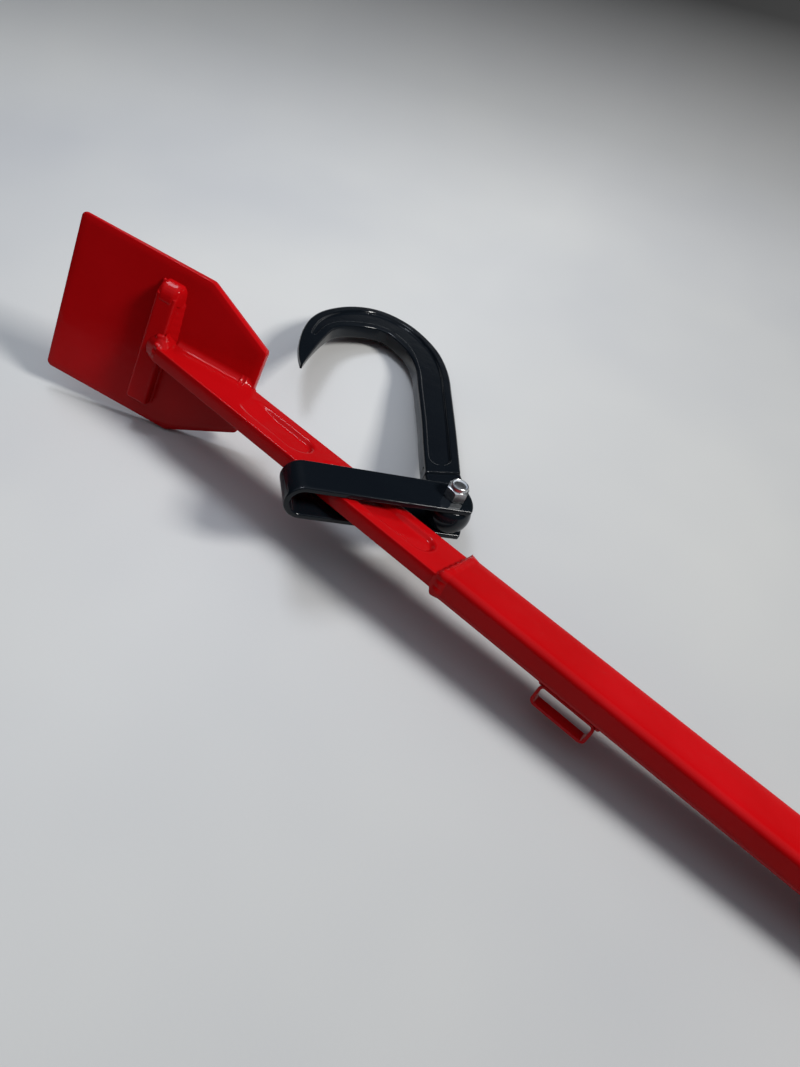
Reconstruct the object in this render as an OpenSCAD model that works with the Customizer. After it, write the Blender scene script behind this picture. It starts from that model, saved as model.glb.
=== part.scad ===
// Felling lever with a turning hook, lying on the ground as it is laid down after use.
// The tool is built in its own directions: x runs along the shaft towards the blade,
// y points to the side of the blade that carries the bar and heel, z runs across the blade.
// The module lie() then lays it on the floor, and z = 0 is the floor.

/* [Shaft tube] */
// Length of the square-cut handle tube behind the joint
shaft_l = 850; // [500:10:1200]
// Tall side of the tube, in the plane in which the lever is loaded
shaft_w = 50; // [40:1:60]
// Narrow side of the tube
shaft_t = 25; // [20:1:30]
// Wall of the tube
shaft_wall = 2; // [1.5:0.5:3]
// Outer corner radius of the tube
shaft_r = 6; // [3:0.5:8]

/* [Forged front bar] */
// Tall side of the bar, level with the tube
bar_w = 50; // [40:1:60]
// Thickness of the bar
bar_t = 14; // [10:1:20]
// Radius on the bar's long edges
bar_r = 2; // [1:0.5:4]
// Depth of the pocket forged into each side
pocket_d = 4; // [2:0.5:5]
// Height of the pocket at the bar's face
pocket_w = 30; // [16:1:36]
// Sloping draft of the pocket's wall
pocket_draft = 4; // [1:0.5:6]
// Start of the pocket near the joint
pocket_a = 26; // [15:1:60]
// Length of the pocket near the joint
pocket_a_l = 122; // [40:1:125]
// Start of the pocket near the blade
pocket_b = 162; // [155:1:180]
// Length of the pocket near the blade
pocket_b_l = 83; // [40:1:100]
// Length of the tang inside the tube
tang_l = 60; // [30:5:120]

/* [Blade] */
// Distance from the joint to the tail edge of the blade
blade_x = 256; // [200:1:320]
// Upward tilt of the blade against the shaft
blade_pitch = 19; // [0:0.5:30]
// Full width of the blade
blade_w = 152; // [90:1:180]
// Length of the blade from tail edge to front edge
blade_l = 194; // [120:1:240]
// Length of the tapering rear part
blade_taper = 65; // [30:1:110]
// Width of the tail edge
blade_tail_w = 84; // [30:1:120]
// Thickness at the tail edge
blade_tail_t = 10; // [6:0.5:14]
// Thickness at the front edge
blade_front_t = 4; // [2:0.5:8]
// Corner radius at the front and tail edges
blade_r = 5; // [2:0.5:8]
// Corner radius at the shoulders
blade_shoulder_r = 10; // [4:1:20]

/* [Heel bar on the blade] */
// Distance from the tail edge to the heel bar
heel_p = 86; // [50:1:150]
// Width of the heel bar along the blade
heel_w = 20; // [10:1:30]
// Height of the heel bar above the blade
heel_h = 12.5; // [6:0.5:20]
// Length of the heel bar across the blade
heel_l = 113; // [60:1:140]
// Rounding of its two top edges
heel_r = 3; // [1:0.5:4]

/* [Weld beads] */
// Leg of the fillet along the bar on the blade
bead_bar = 6; // [3:0.5:9]
// Leg of the fillet around the heel bar
bead_heel = 4; // [2:0.5:7]
// Reach of the rounded bead over the end of the bar, from its middle
bead_nose = 13; // [9:0.5:16]
// Leg of the fillet at the hanger loop
bead_loop = 4; // [2:0.5:6]
// How far the joint bead stands above the tube
bead_proud = 1.2; // [0.5:0.1:3]
// Length of the joint bead on the bar side
bead_joint = 6; // [3:0.5:12]

/* [Hanger loop] */
// Distance of the loop's front end behind the joint
loop_x = 102; // [40:1:300]
// Outer length of the loop along the shaft
loop_l = 50; // [30:1:80]
// Outer reach of the loop from the tube
loop_h = 20; // [12:1:40]
// Depth of the slice of tube
loop_depth = 12; // [6:1:30]
// Wall of the loop
loop_wall = 2.5; // [1.5:0.5:4]
// Outer corner radius of the loop
loop_r = 4; // [3:0.5:6]
// Height of the loop's upper rim above the shaft's axis
loop_top = 20.7; // [10:0.1:25]

/* [Strap around the bar] */
// Distance of the bolt in front of the joint
hook_x = 52; // [20:1:90]
// Distance of the bolt from the edge of the bar
bolt_off = 38; // [34:1:60]
// Tilt of the strap about the shaft, taken up by its play
strap_tilt = 9; // [0:0.5:9]
// Swivel of the strap about the bolt's direction
strap_swivel = -131; // [-140:1:-100]
// Width of the flat steel
strap_w = 36; // [25:1:50]
// Thickness of the flat steel
strap_th = 5; // [4:0.5:8]
// Distance from the bar's edge to the inside of the bend at its near corner
strap_over = 7.5; // [4:0.5:20]
// Reach of the strap's two ends beyond the bolt
strap_end = 17; // [12:0.5:24]
// Radius of the flat curve at these ends
strap_end_r = 34; // [24:1:60]

/* [Turning hook] */
// Centre line and width of the hook, as [across, along, width] from the bolt
hook_path = [
    [3, 36, 34],
    [5, 46, 35],
    [11, 78, 36],
    [20, 124, 36.5],
    [30, 181, 38],
    [37, 224, 39],
    [35.5, 260, 42],
    [26, 286, 45],
    [12, 305, 47],
    [-8, 314, 48],
    [-33, 310, 43],
    [-60, 296, 34],
    [-78, 278, 28],
    [-91, 254, 24],
    [-101, 228, 17.5],
    [-107, 207, 10],
    [-110.5, 190, 2]
];
// Thickness of the forged hook over its rims
hook_t = 16; // [10:0.5:18]
// Width of the rim left around the pocket
hook_rim = 7; // [4:0.5:10]
// Depth of the pocket on each face
hook_pocket = 3; // [1:0.5:5]
// Thickness of the neck between the step and the eye
neck_t = 11; // [8:0.5:16]
// Distance from the bolt to the step between neck and limb
neck_l = 44; // [34:0.5:52]
// Width of the neck where it meets the limb
neck_w = 38; // [30:1:44]
// Slope of the step between neck and limb
step_slope = 10; // [0:1:20]
// Radius of the eye at the strap's legs
eye_r = 18; // [14:0.5:24]
// How much the eye bulges between the legs
eye_bulge = 3; // [0:0.5:5]
// Thickness left at the point of the hook
tip_t = 5; // [2:0.5:12]

/* [Bolt and lock nut] */
// Thread diameter of the bolt
bolt_d = 12; // [8:1:14]
// Width across the flats of head and nut
hex_af = 18; // [13:1:21]
// Height of the bolt's head
head_h = 7.5; // [5:0.1:9]
// Height of the hexagon part of the nut
nut_h = 10; // [6:0.1:11]
// Height of the whole nut with its collar
nut_full_h = 14; // [8:0.1:16]
// Outer diameter of the nut's collar
collar_d = 16; // [12:0.1:18]
// Radial width of the plastic ring in the collar
insert_w = 1.1; // [0.8:0.1:2]

/* [End plug] */
// Thickness of the plug's visible cap
plug_cap = 4; // [2:0.5:8]
// Length of the plug inside the tube
plug_l = 25; // [10:1:40]
// Wall of the plug inside the tube
plug_wall = 3; // [2:0.5:6]

/* [Lying on the floor] */
// Roll of the whole tool about its shaft
lie_roll = 21.467; // [0:0.005:40]
// Rise of the front end
lie_rise = 2.713; // [0:0.001:6]
// Distance of the joint in front of the origin
lie_x = 205.59; // [0:0.01:400]
// Distance of the joint to the side of the origin
lie_y = 114.55; // [0:0.01:200]
// Height of the shaft's axis above the floor at the joint
lie_lift = 59.4; // [40:0.01:80]

/* [Clearances] */
// Running clearance between the bolt and the hook's eye
pin_fit = 0.08; // [0.01:0.01:0.1]
// Clearance between a piece and the tube that it plugs into
plug_fit = 0.1; // [0.05:0.05:0.3]
// Side clearance of the hook's eye between the strap's legs
side_fit = 0.3; // [0.3:0.05:1]
// Play of the tilted strap on the bar, both sides together
strap_play = 0.95; // [0.8:0.05:4]

/* [Hidden] */
$fn = 64;
far = 400;
blade_y = -bar_w / 2;
strap_gap = bar_t * cos(strap_tilt) + bar_w * sin(strap_tilt) + strap_play;
strap_half = strap_gap / 2 + strap_th;
strap_cross = bolt_off + bar_w + strap_w / 2 * abs(cos(strap_swivel));
strap_l = strap_cross / cos(strap_tilt) / abs(sin(strap_swivel)) + strap_over - strap_gap / 2;
hook_y = -bar_w / 2 - bolt_off;
hook_z = -tan(strap_tilt) * hook_y;
bolt_r = bolt_d / 2;
hex_r = hex_af / 2 / cos(30);
insert_r = bolt_r + insert_w;
eye_h = strap_gap / 2 - side_fit;
shaft_in_w = shaft_w - 2 * shaft_wall;
shaft_in_t = shaft_t - 2 * shaft_wall;
red = [0.72, 0.03, 0.03];
black = [0.06, 0.07, 0.08];
zinc = [0.75, 0.76, 0.78];

// Lays the whole tool on the floor, with the origin under its middle.
module lie() {
    translate([lie_x, lie_y, lie_lift])
        rotate([lie_roll, -lie_rise, 0])
            children();
}

// Directions of the blade: x from tail edge to front edge, y up from its top face.
module on_blade() {
    translate([blade_x, blade_y, 0])
        rotate([0, 0, blade_pitch])
            children();
}

// Directions of the strap: x from the bend to the bolt, z along the bolt.
module on_strap() {
    translate([hook_x, hook_y, hook_z])
        rotate([-strap_tilt, 0, 0])
            rotate([0, 0, strap_swivel])
                children();
}

// A straight bar along x with rounded long edges, its start face at x = 0.
module rounded_bar(l, w, t, r) {
    translate([0, -w / 2 + r, -t / 2]) cube([l, w - 2 * r, t]);
    translate([0, -w / 2, -t / 2 + r]) cube([l, w, t - 2 * r]);
    for (y = [-1, 1], z = [-1, 1])
        translate([0, y * (w / 2 - r), z * (t / 2 - r)])
            rotate([0, 90, 0])
                cylinder(r = r, h = l);
}

// A box centred on y and z that starts at x = 0.
module bar_box(l, w, t) {
    translate([0, -w / 2, -t / 2]) cube([l, w, t]);
}

// Shaft: rectangular steel tube behind the joint.
module shaft_tube() {
    color(red) lie()
        difference() {
            translate([-shaft_l, 0, 0]) rounded_bar(shaft_l, shaft_w, shaft_t, shaft_r);
            translate([-shaft_l - 1, 0, 0])
                rounded_bar(shaft_l + 2, shaft_in_w, shaft_in_t, shaft_r - shaft_wall);
        }
}

// One pocket of the bar's side, from x = a to x = b, sunk into the face at z = 0.
module side_pocket(a, b) {
    end_r = pocket_w / 2;
    hull() {
        for (x = [a + end_r, b - end_r]) {
            translate([x, 0, 0]) cylinder(r = end_r, h = 1);
            translate([x, 0, -pocket_d]) cylinder(r = end_r - pocket_draft, h = 1);
        }
    }
}

// Front bar: drop-forged bar with pockets in both sides and a tang in the tube.
module front_bar() {
    tang_w = shaft_in_w - 2 * plug_fit;
    color(red) lie()
        difference() {
            union() {
                rounded_bar(blade_x + blade_l / 2, bar_w, bar_t, bar_r);
                translate([-tang_l, 0, 0]) rounded_bar(tang_l + 1, tang_w, bar_t, bar_r);
            }
            on_blade() translate([-far, -far, -far / 2]) cube([2 * far, far, far]);
            on_blade() translate([heel_p, -far / 2, -far / 2]) cube([far, far, far]);
            for (m = [0, 1]) mirror([0, 0, m]) translate([0, 0, bar_t / 2]) {
                side_pocket(pocket_a, pocket_a + pocket_a_l);
                side_pocket(pocket_b, pocket_b + pocket_b_l);
            }
        }
}

// Round corner of radius r at b, between its neighbours a and c, in n steps.
function rounded(a, b, c, r, n) =
    let (p = (a - b) / norm(a - b), q = (c - b) / norm(c - b))
    let (half = acos(p * q) / 2, mid = b + (p + q) / norm(p + q) * r / sin(half))
    let (s = b + p * r / tan(half) - mid, e = b + q * r / tan(half) - mid)
    [for (i = [0 : n]) let (v = s * (1 - i / n) + e * i / n) mid + v / norm(v) * r];

// Outline of the blade seen from above.
module blade_outline() {
    b = blade_w / 2;
    k = blade_tail_w / 2;
    c = [[0, -k], [blade_taper, -b], [blade_l, -b], [blade_l, b], [blade_taper, b], [0, k]];
    r = [blade_r, blade_shoulder_r, blade_r, blade_r, blade_shoulder_r, blade_r];
    polygon([for (i = [0 : 5]) each rounded(c[(i + 5) % 6], c[i], c[(i + 1) % 6], r[i], 8)]);
}

// Blade: flat plate, thick at the tail and thin at the front edge.
module blade_plate() {
    color(red) lie() on_blade()
        intersection() {
            translate([0, 0, -far / 2])
                linear_extrude(far)
                    polygon([[0, 0], [blade_l, 0], [blade_l, -blade_front_t], [0, -blade_tail_t]]);
            translate([0, 1, 0]) rotate([90, 0, 0]) linear_extrude(far / 2) blade_outline();
        }
}

// Heel bar: flat steel across the blade, the point on which the tree is lifted.
module heel_bar() {
    color(red) lie() on_blade() translate([heel_p, 0, -heel_l / 2]) {
        cube([heel_w, heel_h - heel_r, heel_l]);
        translate([heel_r, 0, 0]) cube([heel_w - 2 * heel_r, heel_h, heel_l]);
        for (x = [heel_r, heel_w - heel_r])
            translate([x, heel_h - heel_r, 0]) cylinder(r = heel_r, h = heel_l);
    }
}

// Bead around the foot of the heel bar.
module heel_weld() {
    e = bead_heel;
    color(red) lie() on_blade()
        difference() {
            hull() {
                translate([heel_p - e, 0, -heel_l / 2 - e]) cube([heel_w + 2 * e, 0.5, heel_l + 2 * e]);
                translate([heel_p - 0.5, 0, -heel_l / 2 - 0.5]) cube([heel_w + 1, e, heel_l + 1]);
            }
            translate([heel_p, -1, -heel_l / 2]) cube([heel_w, heel_h, heel_l]);
            translate([heel_p - far, -1, -bar_t / 2]) cube([far + 1, far, bar_t]);
        }
}

// Fillet between one side of the bar and the blade.
module bar_fillet() {
    run = heel_p - bead_heel - 6;
    on_blade()
        translate([2, 0, bar_t / 2])
            rotate([0, 90, 0])
                linear_extrude(run)
                    polygon([[0, 0], [-bead_bar, 0], [-bead_bar + 1.5, 1.6],
                        [-1.6, bead_bar - 1.5], [0, bead_bar]]);
}

// Fillet on the side of the bar that faces up when the tool lies.
module bar_weld_right() {
    color(red) lie() bar_fillet();
}

// The same fillet on the other side of the bar.
module bar_weld_left() {
    color(red) lie() mirror([0, 0, 1]) bar_fillet();
}

// Rounded bead that closes the end of the bar over the heel bar.
module nose_weld() {
    top = bar_w / cos(blade_pitch) - heel_p * tan(blade_pitch) - bar_r;
    low = max(bead_heel, bead_bar) + 0.1;
    color(red) lie() on_blade()
        difference() {
            translate([heel_p, 0, 0]) rotate([-90, 0, 0]) hull() {
                translate([-3, 0, low]) cylinder(r = bead_nose - 5, h = 1, $fn = 32);
                translate([2, 0, heel_h]) cylinder(r = bead_nose, h = 1, $fn = 32);
                translate([1, 0, heel_h]) cylinder(r = bead_nose - 2.5, h = (top - heel_h) / 2, $fn = 32);
                translate([0, 0, heel_h]) cylinder(r = bar_t / 2 - 1, h = top - heel_h, $fn = 32);
            }
            translate([heel_p, -1, -heel_l / 2]) cube([heel_w + 2, heel_h + 1, heel_l]);
            translate([heel_p - far, -1, -bar_t / 2]) cube([far, far, bar_t]);
        }
}

// Bead under the bar that fills the corner behind the tail edge.
module tail_weld() {
    color(red) lie()
        translate([blade_x, blade_y, -bar_t / 2])
            linear_extrude(bar_t)
                polygon([[0, 0], [-7, 0], [-4.6, -2.6], [-1, -5.4],
                    [7 * sin(blade_pitch), -7 * cos(blade_pitch)]]);
}

// Bead around the joint of bar and tube.
module joint_weld() {
    p = bead_proud;
    color(red) lie()
        difference() {
            union() {
                translate([-3, 0, 0]) rounded_bar(4.5, shaft_w + 2 * p, shaft_t + 2 * p, shaft_r);
                hull() {
                    bar_box(1, bar_w + 2 * p, shaft_t);
                    bar_box(bead_joint, bar_w + p, bar_t + 2);
                }
            }
            translate([-20, 0, 0]) rounded_bar(20, shaft_w, shaft_t, shaft_r);
            translate([-1, 0, 0]) rounded_bar(20, bar_w, bar_t, bar_r);
        }
}

// Ring of the hanger loop, cut from rectangular tube.
module loop_ring(l, h, r, depth) {
    for (x = [r, l - r], z = [r, h - r])
        translate([x, 0, z]) rotate([-90, 0, 0]) cylinder(r = r, h = depth);
    translate([r, 0, 0]) cube([l - 2 * r, depth, h]);
    translate([0, 0, r]) cube([l, depth, h - 2 * r]);
}

// Hanger loop: a slice of rectangular tube on the side of the shaft.
module hanger_loop() {
    w = loop_wall;
    color(red) lie()
        translate([-loop_x - loop_l, loop_top - loop_depth, -shaft_t / 2 - loop_h])
            difference() {
                loop_ring(loop_l, loop_h, loop_r, loop_depth);
                translate([w, -1, w])
                    loop_ring(loop_l - 2 * w, loop_h - 2 * w, loop_r - w, loop_depth + 2);
            }
}

// The two beads that hold the loop's ends to the tube.
module loop_welds() {
    e = bead_loop;
    color(red) lie()
        for (x = [-loop_x - loop_l, -loop_x])
            translate([x, loop_top - loop_depth + 1, -shaft_t / 2])
                difference() {
                    rotate([-90, 0, 0]) linear_extrude(loop_depth - 4)
                        polygon([[-e, 0], [e, 0], [e, loop_r], [0.8, e + 1], [-0.8, e + 1]]);
                    translate([x < -loop_x - 1 ? 0 : -loop_l, -5, -loop_h])
                        loop_ring(loop_l, loop_h, loop_r, loop_depth + 5);
                }
}

// One leg of the strap, cut to a flat curve beyond its bolt hole.
module strap_leg() {
    difference() {
        translate([-strap_l, -strap_w / 2, 0]) cube([strap_l + strap_end, strap_w, strap_th]);
        difference() {
            translate([0, -strap_w, -1]) cube([far, 2 * strap_w, strap_th + 2]);
            translate([strap_end - strap_end_r, 0, -2]) cylinder(r = strap_end_r, h = strap_th + 4);
        }
        translate([0, 0, -1]) cylinder(r = bolt_r + pin_fit, h = strap_th + 2);
    }
}

// Strap: flat steel bent round the bar, both legs on the bolt.
module hook_strap() {
    g = strap_gap / 2;
    color(black) lie() on_strap() {
        translate([0, 0, g]) strap_leg();
        mirror([0, 0, 1]) translate([0, 0, g]) strap_leg();
        translate([-strap_l, 0, 0])
            difference() {
                rotate([90, 0, 0]) cylinder(r = strap_half, h = strap_w, center = true);
                rotate([90, 0, 0]) cylinder(r = g, h = strap_w + 2, center = true);
                translate([0, -strap_w, -far / 2]) cube([far, 2 * strap_w, far]);
            }
    }
}

// Smooth value between stations b and c of the hook's centre line.
function blend(a, b, c, d, t) = b + 0.5 * t * (c - a + t * (2 * a - 5 * b + 4 * c - d
    + t * (3 * (b - c) + d - a)));
// Station number i, held at the ends of the list.
function station(i) = hook_path[max(0, min(len(hook_path) - 1, i))];
// Any place along the centre line, with u counted in stations.
function place(u) = let (i = floor(u)) blend(station(i - 1), station(i), station(i + 1),
    station(i + 2), u - i);
// Direction across the hook at place u.
function across(u) = let (d = place(u + 0.05) - place(u - 0.05), l = norm([d[0], d[1]]))
    [d[1] / l, -d[0] / l];
// Point on one side of the hook, set in from its edge.
function edge_at(u, side, inset) = let (p = place(u), n = across(u), h = max(p[2] / 2 - inset, 0.4))
    [p[0] + side * n[0] * h, p[1] + side * n[1] * h];
// Closed outline between two places.
function strip(u0, u1, step, inset) = concat(
    [for (u = [u0 : step : u1]) edge_at(u, 1, inset)],
    [for (u = [u1 : -step : u0]) edge_at(u, -1, inset)]);

// Turning hook: forging with a recessed web, a thinner neck and a round eye.
module turning_hook() {
    last = len(hook_path) - 1;
    color(black) lie() on_strap()
        difference() {
            union() {
                translate([0, 0, -hook_t / 2])
                    linear_extrude(hook_t)
                        difference() {
                            polygon(strip(0, last, 0.25, 0));
                            translate([0, neck_l]) rotate(step_slope) translate([-50, -60]) square([100, 60]);
                        }
                translate([0, 0, -neck_t / 2])
                    linear_extrude(neck_t)
                        polygon([[-14, 0], [14, 0], [19, 15], [neck_w - 13.5, neck_l - 9],
                            [neck_w - 13.5, neck_l + 4], [-12.5, neck_l + 6], [-13.5, neck_l - 6]]);
                rotate_extrude()
                    polygon([[0, -eye_h], [eye_r, -eye_h], [eye_r + 0.75 * eye_bulge, -eye_h / 2],
                        [eye_r + eye_bulge, 0], [eye_r + 0.75 * eye_bulge, eye_h / 2],
                        [eye_r, eye_h], [0, eye_h]]);
            }
            cylinder(r = bolt_r + pin_fit, h = far, center = true);
            for (m = [0, 1]) mirror([0, 0, m]) {
                translate([0, 0, hook_t / 2 - hook_pocket])
                    linear_extrude(far) polygon(strip(1.4, 12.65, 0.25, hook_rim));
                translate([-78, 270, hook_t / 2])
                    rotate([0, 0, -110])
                        rotate([0, atan((hook_t - tip_t) / 2 / 90), 0])
                            translate([-2, -80, 0]) cube([120, 160, 40]);
            }
        }
}

// Bolt: hexagon head under the lower leg, shank through strap and eye.
module hook_bolt() {
    color(zinc) lie() on_strap() {
        translate([0, 0, -strap_half - head_h]) cylinder(r = hex_r, h = head_h, $fn = 6);
        translate([0, 0, -strap_half]) cylinder(r = bolt_r, h = 2 * strap_half + nut_full_h - 1);
    }
}

// Lock nut: zinc-plated hexagon with a rolled collar.
module lock_nut() {
    color(zinc) lie() on_strap() translate([0, 0, strap_half])
        difference() {
            union() {
                cylinder(r = hex_r, h = nut_h, $fn = 6);
                cylinder(r = collar_d / 2, h = nut_full_h);
            }
            translate([0, 0, -1]) cylinder(r = bolt_r + 0.02, h = nut_full_h + 2);
            translate([0, 0, nut_h]) cylinder(r = insert_r, h = nut_full_h - nut_h - 0.8);
            translate([0, 0, nut_full_h - 1]) cylinder(r = insert_r - 0.5, h = 2);
        }
}

// Plastic ring inside the nut's collar.
module nut_insert() {
    color([0.85, 0.86, 0.9]) lie() on_strap() translate([0, 0, strap_half + nut_h])
        difference() {
            cylinder(r = insert_r, h = nut_full_h - nut_h - 0.8);
            translate([0, 0, -1]) cylinder(r = bolt_r + 0.02, h = nut_full_h);
        }
}

// Plug that closes the handle end of the tube.
module end_plug() {
    f = 2 * plug_fit;
    color(black) lie() translate([-shaft_l, 0, 0]) {
        translate([-plug_cap, 0, 0]) rounded_bar(plug_cap, shaft_w, shaft_t, shaft_r);
        difference() {
            rounded_bar(plug_l, shaft_in_w - f, shaft_in_t - f, shaft_r - shaft_wall);
            translate([1, 0, 0])
                bar_box(plug_l, shaft_in_w - f - 2 * plug_wall, shaft_in_t - f - 2 * plug_wall);
        }
    }
}

shaft_tube();
front_bar();
blade_plate();
heel_bar();
heel_weld();
bar_weld_right();
bar_weld_left();
nose_weld();
tail_weld();
joint_weld();
hanger_loop();
loop_welds();
hook_strap();
turning_hook();
hook_bolt();
lock_nut();
nut_insert();
end_plug();
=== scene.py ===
import bpy
import bmesh
import math
from mathutils import Matrix, Vector


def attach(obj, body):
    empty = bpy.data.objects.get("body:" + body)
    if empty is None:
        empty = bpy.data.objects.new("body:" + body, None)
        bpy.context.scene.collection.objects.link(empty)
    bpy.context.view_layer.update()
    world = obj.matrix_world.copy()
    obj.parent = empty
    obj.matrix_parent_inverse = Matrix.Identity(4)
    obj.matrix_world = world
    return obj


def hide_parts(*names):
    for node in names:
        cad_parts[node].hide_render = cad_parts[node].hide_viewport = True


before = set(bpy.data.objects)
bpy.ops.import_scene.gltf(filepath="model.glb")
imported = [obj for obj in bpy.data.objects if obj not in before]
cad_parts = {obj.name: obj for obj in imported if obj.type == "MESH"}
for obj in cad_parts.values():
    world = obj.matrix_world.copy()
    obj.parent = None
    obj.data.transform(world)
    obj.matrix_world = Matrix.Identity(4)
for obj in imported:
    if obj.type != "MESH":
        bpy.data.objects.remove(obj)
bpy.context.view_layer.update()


# Camera
# Stands where the photograph was taken from: above the bolt, looking down on
# the blade with the handle running out of the picture at the lower right.

# The lever is drawn in its own directions, in millimetres: x along the shaft
# towards the blade, y to the side that carries the heel, z across the blade.
# LIE rolls and lifts it on to the floor, to where the solids lie.
LIE_AT = (0.20559, 0.11455, 0.0594)
LIE_LIFT = math.radians(-2.713)
LIE_ROLL = math.radians(21.467)
MILLIMETRE = 0.001
LIE = (Matrix.Translation(LIE_AT) @ Matrix.Rotation(LIE_LIFT, 4, "Y")
       @ Matrix.Rotation(LIE_ROLL, 4, "X") @ Matrix.Scale(MILLIMETRE, 4))

# The eye in the lever's directions: its right, down and ahead, and its offset.
TURN = Matrix(((-0.747345, -0.510609, 0.425152),
               (-0.599721, 0.242934, -0.762442),
               (0.286026, -0.824780, -0.487778)))
OFFSET = Vector((43.312, 34.340, 621.271))
SENSOR, FOCAL_PIXELS, PICTURE_HEIGHT_PIXELS = 36.0, 790.98, 1067.0

camera = bpy.data.objects.new("camera", bpy.data.cameras.new("camera"))
bpy.context.scene.collection.objects.link(camera)
bpy.context.scene.camera = camera
eye_place = -(TURN.transposed() @ OFFSET)
right, down, ahead = (LIE.to_3x3() * (1 / MILLIMETRE) @ Vector(row) for row in TURN)
camera.matrix_world = Matrix.Translation(LIE @ eye_place) @ Matrix(
    (right, -down, -ahead)).transposed().to_4x4()
camera.data.sensor_width = SENSOR
camera.data.lens = SENSOR * FOCAL_PIXELS / PICTURE_HEIGHT_PIXELS
camera.data.clip_start = 0.02
camera.data.clip_end = 50.0


# Floor, backdrop and light
# A pale sheet that runs up behind the tool in one soft curve. Painted shade
# greys it towards one side and darkens it towards its top. One soft lamp
# stands beyond the handle, a much weaker one over the blade, and the room
# above gives a little light.
def feed(tree, node, inputs):
    """Sets inputs of a node to plain values, or links them to the sockets that feed them."""
    for name, given in inputs.items():
        if isinstance(given, bpy.types.NodeSocket):
            tree.links.new(given, node.inputs[name])
        else:
            node.inputs[name].default_value = given


def add_node(tree, kind, inputs, **settings):
    node = tree.nodes.new(kind)
    for name, setting in settings.items():
        setattr(node, name, setting)
    feed(tree, node, inputs)
    return node.outputs


def noise(tree, place, scale, detail=2.0, rough=0.5):
    inputs = {"Vector": place, "Scale": scale, "Detail": detail, "Roughness": rough}
    return add_node(tree, "ShaderNodeTexNoise", inputs)["Fac"]


def span(tree, value, low, high, to_low=0.0, to_high=1.0):
    """Maps a value between low and high to one between to_low and to_high, held at both ends."""
    inputs = {"Value": value, "From Min": low, "From Max": high, "To Min": to_low, "To Max": to_high}
    return add_node(tree, "ShaderNodeMapRange", inputs)["Result"]


def mixed(tree, factor, first, second, way="MIX"):
    inputs = {0: factor, 6: first, 7: second}
    return add_node(tree, "ShaderNodeMix", inputs, data_type="RGBA", blend_type=way)[2]


def bump(tree, height, strength, distance):
    inputs = {"Height": height, "Strength": strength, "Distance": distance}
    return add_node(tree, "ShaderNodeBump", inputs)["Normal"]


def colour_ramp(tree, factor, stops):
    """Colours by factor; stops are (factor, colour) pairs in rising order."""
    node = tree.nodes.new("ShaderNodeValToRGB")
    feed(tree, node, {"Fac": factor})
    for k, (at, colour) in enumerate(stops):
        stop = node.color_ramp.elements[k] if k < 2 else node.color_ramp.elements.new(at)
        stop.position = at
        stop.color = (*colour, 1)
    return node.outputs["Color"]


def place_on_piece(tree):
    return add_node(tree, "ShaderNodeTexCoord", {})["Object"]


def new_finish(name):
    """A new material with its node tree and its shader."""
    material = bpy.data.materials.new(name)
    material.use_nodes = True
    return material, material.node_tree, material.node_tree.nodes["Principled BSDF"]


SHEET = {"front": -0.85, "bend": 0.62, "radius": 0.5, "half_w": 1.6, "shift": 0.1}
SHEET_TONES = ((0.3, (0.505, 0.51, 0.515)), (0.72, (0.585, 0.585, 0.565)))
# Painted shade: the way along which the sheet's colour is greyed.
SHEET_SHADE_TOWARDS = (-1.0, -0.19, 0.0)
# Painted shade: how much the sheet's colour is darkened with height.
SHEET_SHADE_UPWARDS = ((0.0, 1.0), (0.2, 0.62), (0.42, 0.30), (0.62, 0.03))


def sheet_finish():
    material, tree, shader = new_finish("pale_sheet")
    place = place_on_piece(tree)
    tone = colour_ramp(tree, noise(tree, place, scale=2.2, detail=3.0), SHEET_TONES)
    across = add_node(tree, "ShaderNodeVectorMath", {0: place, 1: SHEET_SHADE_TOWARDS},
                      operation="DOT_PRODUCT")["Value"]
    # Painted shade: greys the sheet towards one side.
    painted_side_shade = span(tree, across, low=-0.42, high=0.34, to_low=0.0, to_high=0.42)
    # Painted shade: darker towards the top of the sheet, nearly black there.
    height = span(tree, add_node(tree, "ShaderNodeSeparateXYZ", {"Vector": place})["Z"], low=0.0, high=0.4)
    painted_top_shade = colour_ramp(tree, height, [(at, (level, level, level)) for at, level in SHEET_SHADE_UPWARDS])
    colour = mixed(tree, 1.0, mixed(tree, painted_side_shade, tone, (0.0, 0.0, 0.0, 1)), painted_top_shade, "MULTIPLY")
    grain = bump(tree, noise(tree, place, scale=260.0, detail=4.0), strength=0.12, distance=0.0004)
    feed(tree, shader, {"Base Color": colour, "Normal": grain, "Roughness": 0.62, "Specular IOR Level": 0.3})
    return material


# The sheet rises beyond the blade, square to the way the camera looks.
away = Vector((ahead.x, ahead.y, 0)).normalized()
side = Vector((away.y, -away.x, 0))
profile = [(SHEET["front"], 0.0), (SHEET["bend"], 0.0)]
profile += [(SHEET["bend"] + SHEET["radius"] * math.sin(a), SHEET["radius"] - SHEET["radius"] * math.cos(a))
            for a in (math.radians(9 * k) for k in range(1, 11))]
profile += [(SHEET["bend"] + SHEET["radius"], SHEET["radius"])]
sheet_mesh = bpy.data.meshes.new("pale_sheet")
sheet_mesh.from_pydata(
    [away * d + side * s + Vector((SHEET["shift"], 0.0, z))
     for s in (-SHEET["half_w"], SHEET["half_w"]) for d, z in profile], [],
    [(k, k + 1, len(profile) + k + 1, len(profile) + k) for k in range(len(profile) - 1)])
sheet_mesh.polygons.foreach_set("use_smooth", [True] * len(sheet_mesh.polygons))
sheet_mesh.materials.append(sheet_finish())
pale_sheet = bpy.data.objects.new("pale_sheet", sheet_mesh)
bpy.context.scene.collection.objects.link(pale_sheet)

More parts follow.
